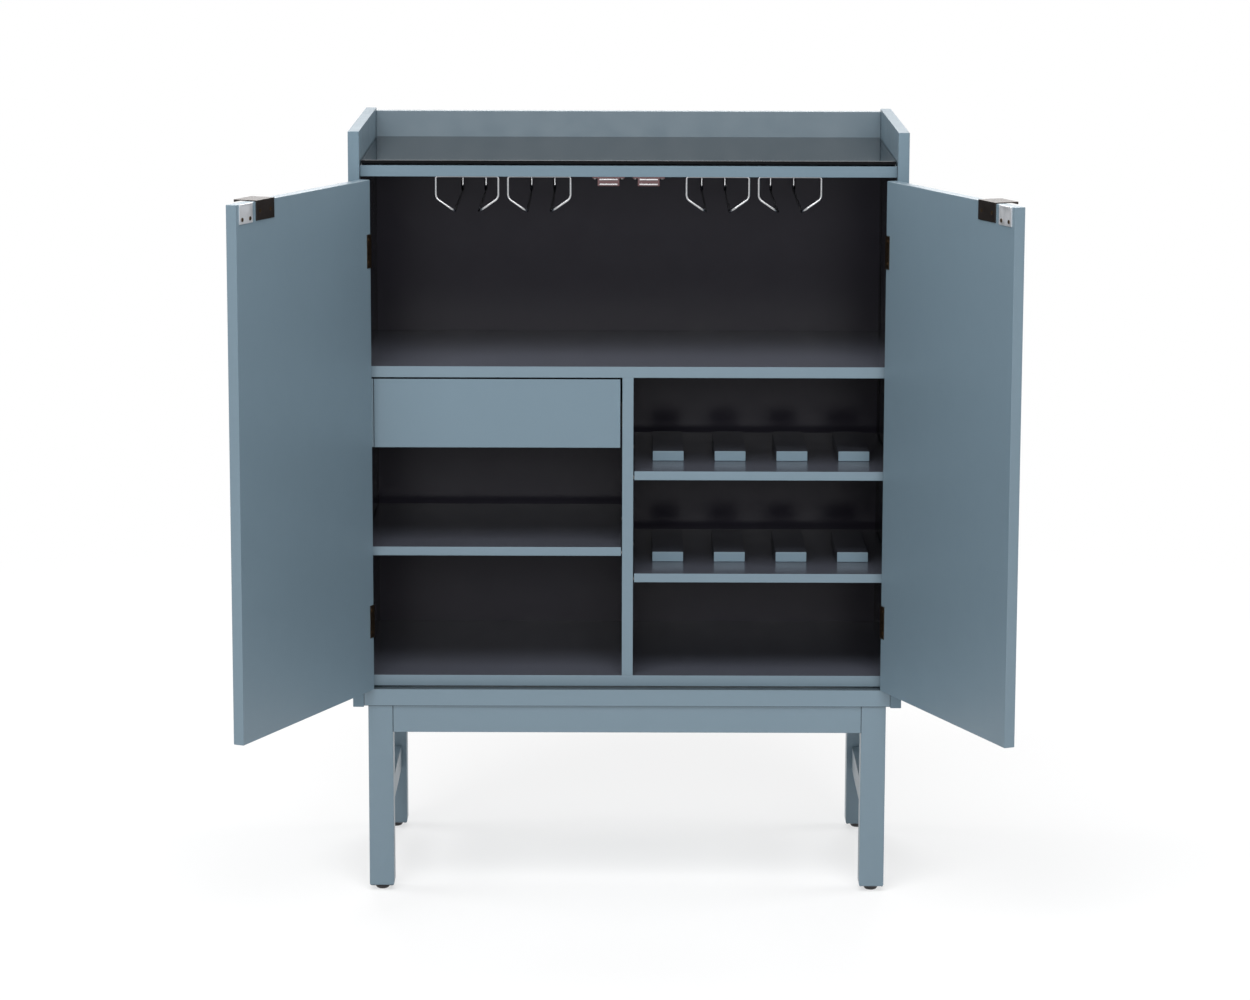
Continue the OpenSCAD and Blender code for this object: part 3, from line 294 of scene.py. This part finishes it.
looks = {
    "lacquer": paint("blue_lacquer"),
    "interior": paint("charcoal_lacquer", "all"),
    "back": paint("back_lacquer", "all", BACK),
    "board": paint("board_lacquer", [behind_edge], level=0.42),
    # The middle shelf: painted light, the boards' dark tone made lighter
    "painted_light_board": paint("painted_light_board_lacquer", [behind_edge], shade(DARK, 1.3), level=0.42),
    "side": paint("side_lacquer", [side_faces], BLACK),
    # The leg frame: painted shade in the hairlines at its joints
    "frame": paint("frame_lacquer", joint_shade_lines, SHADOW, level=0.5),
    # The drawer front: black behind its face, partly its own paint and partly painted shade in the
    # seams
    "drawer": paint("drawer_lacquer", [behind_edge], BLACK, level=0.25),
    "top": paint("top_lacquer", [ceiling]),
    # The bottom board: painted light, the boards' dark tone made lighter on its top
    "bottom": paint("bottom_lacquer", [bay_floor], shade(DARK, 1.2), level=0.45),
    # The front rail: painted shade on its top face and in the hairlines at its joints
    "rail": paint("rail_lacquer", [rail_top_shade, *joint_shade_lines], SHADOW, level=0.5),
    # Gallery: painted shade, the lacquer's blue made darker
    "gallery": paint("gallery_lacquer", body=shade(BLUE, 0.80)),
    # Bottle blocks: painted light, the blue of their fronts lighter than the lacquer's
    "block": paint("block_lacquer", [block_rest], body=shade(BLUE, 1.55), level=0.30),
    "chrome": metal("chromed_wire", colour=(0.44, 0.44, 0.45), worn=(0.36, 0.36, 0.37),
                    rough=(0.16, 0.24)),
    "zinc": metal("zinc_steel", colour=(0.24, 0.23, 0.22), worn=(0.17, 0.16, 0.16),
                  rough=(0.28, 0.42), grain=0.1),
    "brass": metal("aged_brass", colour=(0.13, 0.085, 0.045), worn=(0.045, 0.032, 0.022),
                   rough=(0.30, 0.48), grain=0.12, patches=220),
    "bronze": metal("dark_bronze", colour=(0.082, 0.069, 0.063), worn=(0.062, 0.052, 0.048),
                    rough=(0.28, 0.40), grain=0.12, axis=ALONG_Z, rim=0.8),
    "nickel": metal("nickel_plate", colour=(0.92, 0.93, 0.95), worn=(0.84, 0.85, 0.88),
                    rough=(0.34, 0.46), grain=0.1, axis=ALONG_Z),
    "poles": metal("pole_steel", colour=(0.46, 0.45, 0.46), worn=(0.38, 0.37, 0.38),
                   rough=(0.22, 0.34), grain=0.1),
    "catch": plastic("catch_plastic", (0.070, 0.024, 0.027), rough=0.42, grain=0.08),
    "runner": plastic("runner_black", (0.018, 0.018, 0.019), rough=0.40, grain=0.06),
    "glide": plastic("glide_plastic", (0.012, 0.010, 0.012), rough=0.38, grain=0.08),
    "pad": plastic("soft_pad", (0.02, 0.02, 0.02), rough=0.7, grain=0.2),
    "timber": timber("raw_dowel"),
    "glass": glass_black("black_glass"),
}

# The CAD nodes get their materials, and modifiers that round their edges

WELD_GAP = 1e-6
FLAT_ANGLE = math.radians(0.6)        # faces that differ by less are joined into one
SHARP_ANGLE = math.radians(40)        # sharper edges are rounded, and the others shaded smooth
BEVEL_SEGMENTS = 2
FOOT_Z = 0.012                        # below this height a leg's edges are rounded in full
FOOT_FADE = 0.001                     # height in which that fades to the share below
LEG_SHARE = 0.15                      # of the rounding, on the rest of the leg

# Small faces with holes in them keep their triangles: joined into one face, they leave slivers
PIERCED = ("catch_housings",)


def geometry_group(name):
    """A group for a Geometry Nodes modifier, with its input and its output"""
    group = bpy.data.node_groups.new(name, "GeometryNodeTree")
    for way in ("INPUT", "OUTPUT"):
        group.interface.new_socket("Geometry", in_out=way, socket_type="NodeSocketGeometry")
    return group, add(group, "NodeGroupInput"), add(group, "NodeGroupOutput")


def edges_where(group, operation):
    """The edges whose angle is greater or less than the sharp angle"""
    bend = add(group, "GeometryNodeInputMeshEdgeAngle")
    test = add(group, "FunctionNodeCompare", operation=operation)
    test.inputs["B"].default_value = SHARP_ANGLE
    group.links.new(bend.outputs["Unsigned Angle"], test.inputs["A"])
    return test.outputs["Result"]


def smooth_by_angle():
    group, first, last = geometry_group("smooth_by_angle")
    faces = add(group, "GeometryNodeSetShadeSmooth", domain="FACE")
    edges = add(group, "GeometryNodeSetShadeSmooth", domain="EDGE")
    link = group.links.new
    link(first.outputs[0], faces.inputs["Geometry"])
    link(faces.outputs[0], edges.inputs["Geometry"])
    link(edges_where(group, "LESS_THAN"), edges.inputs["Shade Smooth"])
    link(edges.outputs[0], last.inputs[0])
    return group


def foot_weights():
    """Weights for the bevel of a leg: full at its foot, a share above, none on the soft edges"""
    group, first, last = geometry_group("foot_weights")
    place = add(group, "GeometryNodeInputPosition")
    parts = add(group, "ShaderNodeSeparateXYZ")
    store = add(group, "GeometryNodeStoreNamedAttribute", data_type="FLOAT", domain="EDGE")
    store.inputs["Name"].default_value = "bevel_weight_edge"
    link = group.links.new
    link(first.outputs[0], store.inputs["Geometry"])
    link(place.outputs[0], parts.inputs[0])
    weight = spread(group, parts.outputs["Z"], 1.0, LEG_SHARE, FOOT_Z, FOOT_Z + FOOT_FADE)
    link(edges_where(group, "GREATER_THAN"), store.inputs["Selection"])
    link(weight, store.inputs["Value"])
    link(store.outputs[0], last.inputs[0])
    return group


SMOOTH = smooth_by_angle()
FEET = foot_weights()


def dress(name, look, width):
    """Gives a node its finish, and rounds its edges by width"""
    o = nodes[name]
    is_leg = name.startswith("leg_")
    for slot in o.material_slots:
        slot.material = looks[look]
    weld = o.modifiers.new("weld", "WELD")
    weld.merge_threshold = WELD_GAP
    if name not in PIERCED:
        flat = o.modifiers.new("flat", "DECIMATE")
        flat.decimate_type = "DISSOLVE"
        flat.angle_limit = FLAT_ANGLE
    if is_leg:
        weights = o.modifiers.new("weights", "NODES")
        weights.node_group = FEET
    if width:
        bevel = o.modifiers.new("edges", "BEVEL")
        bevel.width = width
        bevel.segments = BEVEL_SEGMENTS
        bevel.limit_method = "WEIGHT" if is_leg else "ANGLE"
        bevel.angle_limit = SHARP_ANGLE
        bevel.use_clamp_overlap = False
        bevel.miter_outer = "MITER_ARC"
    shading = o.modifiers.new("shading", "NODES")
    shading.node_group = SMOOTH
    weighted = o.modifiers.new("normals", "WEIGHTED_NORMAL")
    weighted.keep_sharp = True


# Look, rounding of the edges, nodes
plan = [
    ("lacquer", 0.0010, "door_left door_right side_stretchers"),
    ("drawer", 0.0004, "drawer_front"),
    ("frame", 0.0005, "front_apron back_apron side_aprons"),
    ("gallery", 0.0010, "gallery_back"),
    ("rail", 0.0005, "front_rail"),
    ("frame", 0.0030, "leg_front_left leg_front_right leg_back_left leg_back_right"),
    ("side", 0.0010, "side_panel_left side_panel_right"),
    ("top", 0.0008, "top_board"),
    ("bottom", 0.0008, "bottom_board"),
    ("painted_light_board", 0.0006, "middle_shelf"),
    ("board", 0.0006, "divider left_shelf rack_shelf_upper rack_shelf_lower drawer_packer"),
    ("block", 0.0012, "bottle_blocks"),
    ("interior", 0.0006, "side_cleats back_cleat "
                         "drawer_side_left drawer_side_right drawer_back drawer_bottom"),
    ("back", 0.0, "back_panel"),
    ("glass", 0.0006, "top_glass"),
    ("pad", 0.0, "glass_pads"),
    ("zinc", 0.0, "shelf_pins carcass_screws drawer_screws ball_cages"),
    ("runner", 0.0, "drawer_runners drawer_members"),
    ("glide", 0.0, "foot_glides"),
    ("catch", 0.0003, "catch_housings"),
    ("brass", 0.0, "frame_leaves hinge_pins frame_leaf_screws door_leaves_left door_leaves_right "
                   "door_screws_left door_screws_right"),
    ("timber", 0.0, "carcass_dowels drawer_dowels"),
    ("bronze", 0.00033, "pull_left pull_right"),
    ("nickel", 0.00018, "strike_plate_left strike_plate_right"),
    ("poles", 0.0002, "magnet_left magnet_right"),
]
for look, width, names in plan:
    for name in names.split():
        dress(name, look, width)

# Stemware racks of bent wire, in place of their nodes

RACKS = 4
WIRE_R = 0.00225                      # half the wire's thickness
WIRE_SIDES = 14
KNEE_R = 0.0100                       # radius of the bends at the knees and rails
TOP_R = 0.0034                        # radius of the bends below the top board
KNEE_DOWN = 0.034                     # from the top board to the knee of an upright
TOP_GAP = 0.0001                      # between the wire and the top board
SLOT_HALF = 0.0175                    # from the middle of a rack to its rail
BEND_STEPS = 7
TAB = (0.014, 0.016, 0.0012)          # the tabs that hold a rack to the top board
TAB_EDGE = 0.0003                     # rounding of their edges


def rounded(corners, radii, steps):
    """A closed path through the corners, with an arc at each"""
    path = []
    for i, (here, radius) in enumerate(zip(corners, radii)):
        before = (corners[i - 1] - here).normalized()
        after = (corners[(i + 1) % len(corners)] - here).normalized()
        half = before.angle(after) / 2
        cut = radius / math.tan(half)
        middle = here + (before + after).normalized() * (radius / math.sin(half))
        first = here + before * cut - middle
        last = here + after * cut - middle
        turn = first.angle(last)
        for k in range(steps + 1):
            t = k / steps
            share = (first * math.sin((1 - t) * turn) + last * math.sin(t * turn)) / math.sin(turn)
            path.append(middle + share)
    return path


def sweep(mesh, path, radius, sides):
    """A round tube along a closed path"""
    rings = []
    count = len(path)
    angles = [2 * math.pi * k / sides for k in range(sides)]
    across = None
    for i, here in enumerate(path):
        way = (path[(i + 1) % count] - path[i - 1]).normalized()
        if across is None:
            across = way.orthogonal().normalized()
        across = (across - way * across.dot(way)).normalized()
        up = way.cross(across)
        rings.append([mesh.verts.new(here + (across * math.cos(a) + up * math.sin(a)) * radius)
                      for a in angles])
    for i, ring in enumerate(rings):
        other = rings[(i + 1) % count]
        shift = 0
        if i == count - 1:            # the tube closes where it has turned a little on its way
            shift = min(range(sides), key=lambda k: (other[k].co - ring[0].co).length)
        for k in range(sides):
            n = (k + 1) % sides
            face = mesh.faces.new((ring[k], ring[n],
                                   other[(n + shift) % sides], other[(k + shift) % sides]))
            face.smooth = True


def glass_rack(node):
    """One loop of bent wire with two tabs, in the place of the node"""
    low, high = (Vector(c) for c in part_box(node))
    x = (low.x + high.x) / 2
    u = (high.x - low.x) / 2 - WIRE_R
    y0, y1 = low.y + WIRE_R, high.y - WIRE_R
    top, knee, rail = high.z - WIRE_R - TOP_GAP, high.z - KNEE_DOWN, low.z + WIRE_R
    right = [(u, y0, top), (u, y0, knee),
             (SLOT_HALF, y0, rail), (SLOT_HALF, y1, rail), (SLOT_HALF, y1, top)]
    corners = [Vector((x + px, py, pz)) for px, py, pz in right]
    corners += [Vector((x - px, py, pz)) for px, py, pz in reversed(right)]
    radii = [TOP_R, KNEE_R, KNEE_R, KNEE_R, TOP_R] * 2
    mesh = bmesh.new()
    sweep(mesh, rounded(corners, radii, BEND_STEPS), WIRE_R, WIRE_SIDES)
    for y in (y0 + TAB[1] / 2, y1 - TAB[1] / 2):
        place = Matrix.Translation((x, y, high.z - TAB[2] / 2)) @ Matrix.Diagonal((*TAB, 1.0))
        made = bmesh.ops.create_cube(mesh, size=1.0, matrix=place)
        edges = [e for e in mesh.edges if e.verts[0] in made["verts"]]
        bmesh.ops.bevel(mesh, geom=edges, offset=TAB_EDGE, segments=BEVEL_SEGMENTS, affect="EDGES")
    bmesh.ops.recalc_face_normals(mesh, faces=mesh.faces)
    data = bpy.data.meshes.new(node + "_wire")
    mesh.to_mesh(data)
    mesh.free()
    data.materials.append(looks["chrome"])
    piece = bpy.data.objects.new(node + "_wire", data)
    bpy.context.scene.collection.objects.link(piece)
    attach(piece, "carcass")
    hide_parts(node)


for i in range(1, RACKS + 1):
    glass_rack(f"glass_rack_{i}")

# Floor and world

FLOOR_SIZE = 30
FLOOR_COLOUR = (0.92, 0.92, 0.92)
FLOOR_LIFT = 0.6                      # how far the floor under the object is lifted towards white
FADE_FROM, FADE_TO = 0.7, 2.6         # distances between which the floor fades to all white
WORLD_LIGHT = 0.18                    # strength of the world's light on the object


def seen(tree, *more):
    """1 where the eye sees a thing itself or in a reflection, and on the rays named besides"""
    path = add(tree, "ShaderNodeLightPath")
    result = path.outputs["Is Camera Ray"]
    for ray in ("Is Glossy Ray", *more):
        result = number(tree, "MAXIMUM", result, path.outputs[ray])
    return result


def floor_paint(name):
    """A pale matt floor, lifted towards white where it is seen"""
    m, tree, shader, where = start(name)
    shader.inputs["Base Color"].default_value = (*FLOOR_COLOUR, 1.0)
    shader.inputs["Roughness"].default_value = 0.9
    shader.inputs["Specular IOR Level"].default_value = 0.0
    glow = add(tree, "ShaderNodeEmission")
    mix = add(tree, "ShaderNodeMixShader")
    away = add(tree, "ShaderNodeVectorMath", operation="LENGTH")
    tree.links.new(where, away.inputs[0])
    lift = spread(tree, away.outputs["Value"], FLOOR_LIFT, 1.0, FADE_FROM, FADE_TO)
    tree.links.new(number(tree, "MULTIPLY", seen(tree), lift), mix.inputs[0])
    tree.links.new(shader.outputs[0], mix.inputs[1])
    tree.links.new(glow.outputs[0], mix.inputs[2])
    tree.links.new(mix.outputs[0], tree.nodes["Material Output"].inputs["Surface"])
    return m


bpy.ops.mesh.primitive_plane_add(size=FLOOR_SIZE, location=(0, 0, 0))
floor = bpy.context.object
floor.name = "floor"
floor.data.materials.append(floor_paint("pale_floor"))


def light_world(name):
    """A white world that is seen in full, and lights the object only a little"""
    world = bpy.data.worlds.new(name)
    bpy.context.scene.world = world
    world.use_nodes = True
    tree = world.node_tree
    sky = tree.nodes["Background"]
    sky.inputs["Color"].default_value = (1, 1, 1, 1)
    rest = number(tree, "MULTIPLY", seen(tree, "Is Transmission Ray"), 1 - WORLD_LIGHT)
    tree.links.new(number(tree, "ADD", WORLD_LIGHT, rest), sky.inputs["Strength"])


light_world("studio")

# Lamps: name, place, size, power in watts

LAMP_AIM = Vector((0, 0, 0.7))
LAMPS = [
    ("key", (-0.35, -2.6, 4.2), (4.0, 2.2), 190),
    ("front_fill", (0, -6.5, 2.0), (4.0, 1.6), 128),
    ("left", (-4.2, 0.6, 2.4), (2.0, 2.4), 58),
    ("right", (4.2, 0.6, 2.4), (2.0, 2.4), 58),
    ("behind", (0, 3.7, 3.5), (3.0, 2.4), 120),
]


def softbox(name, place, size, power):
    lamp = bpy.data.lights.new(name, "AREA")
    lamp.shape = "RECTANGLE"
    lamp.size, lamp.size_y = size
    lamp.energy = power
    o = bpy.data.objects.new(name, lamp)
    bpy.context.scene.collection.objects.link(o)
    o.location = place
    o.rotation_euler = (LAMP_AIM - Vector(place)).to_track_quat("-Z", "Y").to_euler()


for lamp in LAMPS:
    softbox(*lamp)

# The camera of the photograph, without shift; angles in radians

CAMERA_PLACE = (-0.00671, -5.90599, 1.62076)
YAW, PITCH, ROLL = 0.000491, 0.179689, 0.002692
FOCAL_PIXELS = 4005.42
IMAGE_PIXELS = 1250                   # across the photograph
SENSOR = 36.0                         # millimetres across
CLIP_END = 200


def aim_camera():
    data = bpy.data.cameras.new("camera")
    o = bpy.data.objects.new("camera", data)
    bpy.context.scene.collection.objects.link(o)
    level = math.cos(PITCH)
    ahead = Vector((math.sin(YAW) * level, math.cos(YAW) * level, -math.sin(PITCH)))
    right = Vector((math.cos(YAW), -math.sin(YAW), 0.0))
    up = right.cross(ahead)
    right, up = (right * math.cos(ROLL) + up * math.sin(ROLL),
                 up * math.cos(ROLL) - right * math.sin(ROLL))
    turn = Matrix((right, up, -ahead)).transposed().to_4x4()
    o.matrix_world = Matrix.Translation(CAMERA_PLACE) @ turn
    data.sensor_fit = "HORIZONTAL"
    data.sensor_width = SENSOR
    data.lens = FOCAL_PIXELS / IMAGE_PIXELS * SENSOR
    data.clip_end = CLIP_END
    bpy.context.scene.camera = o


aim_camera()
bpy.context.scene.view_settings.view_transform = "Standard"
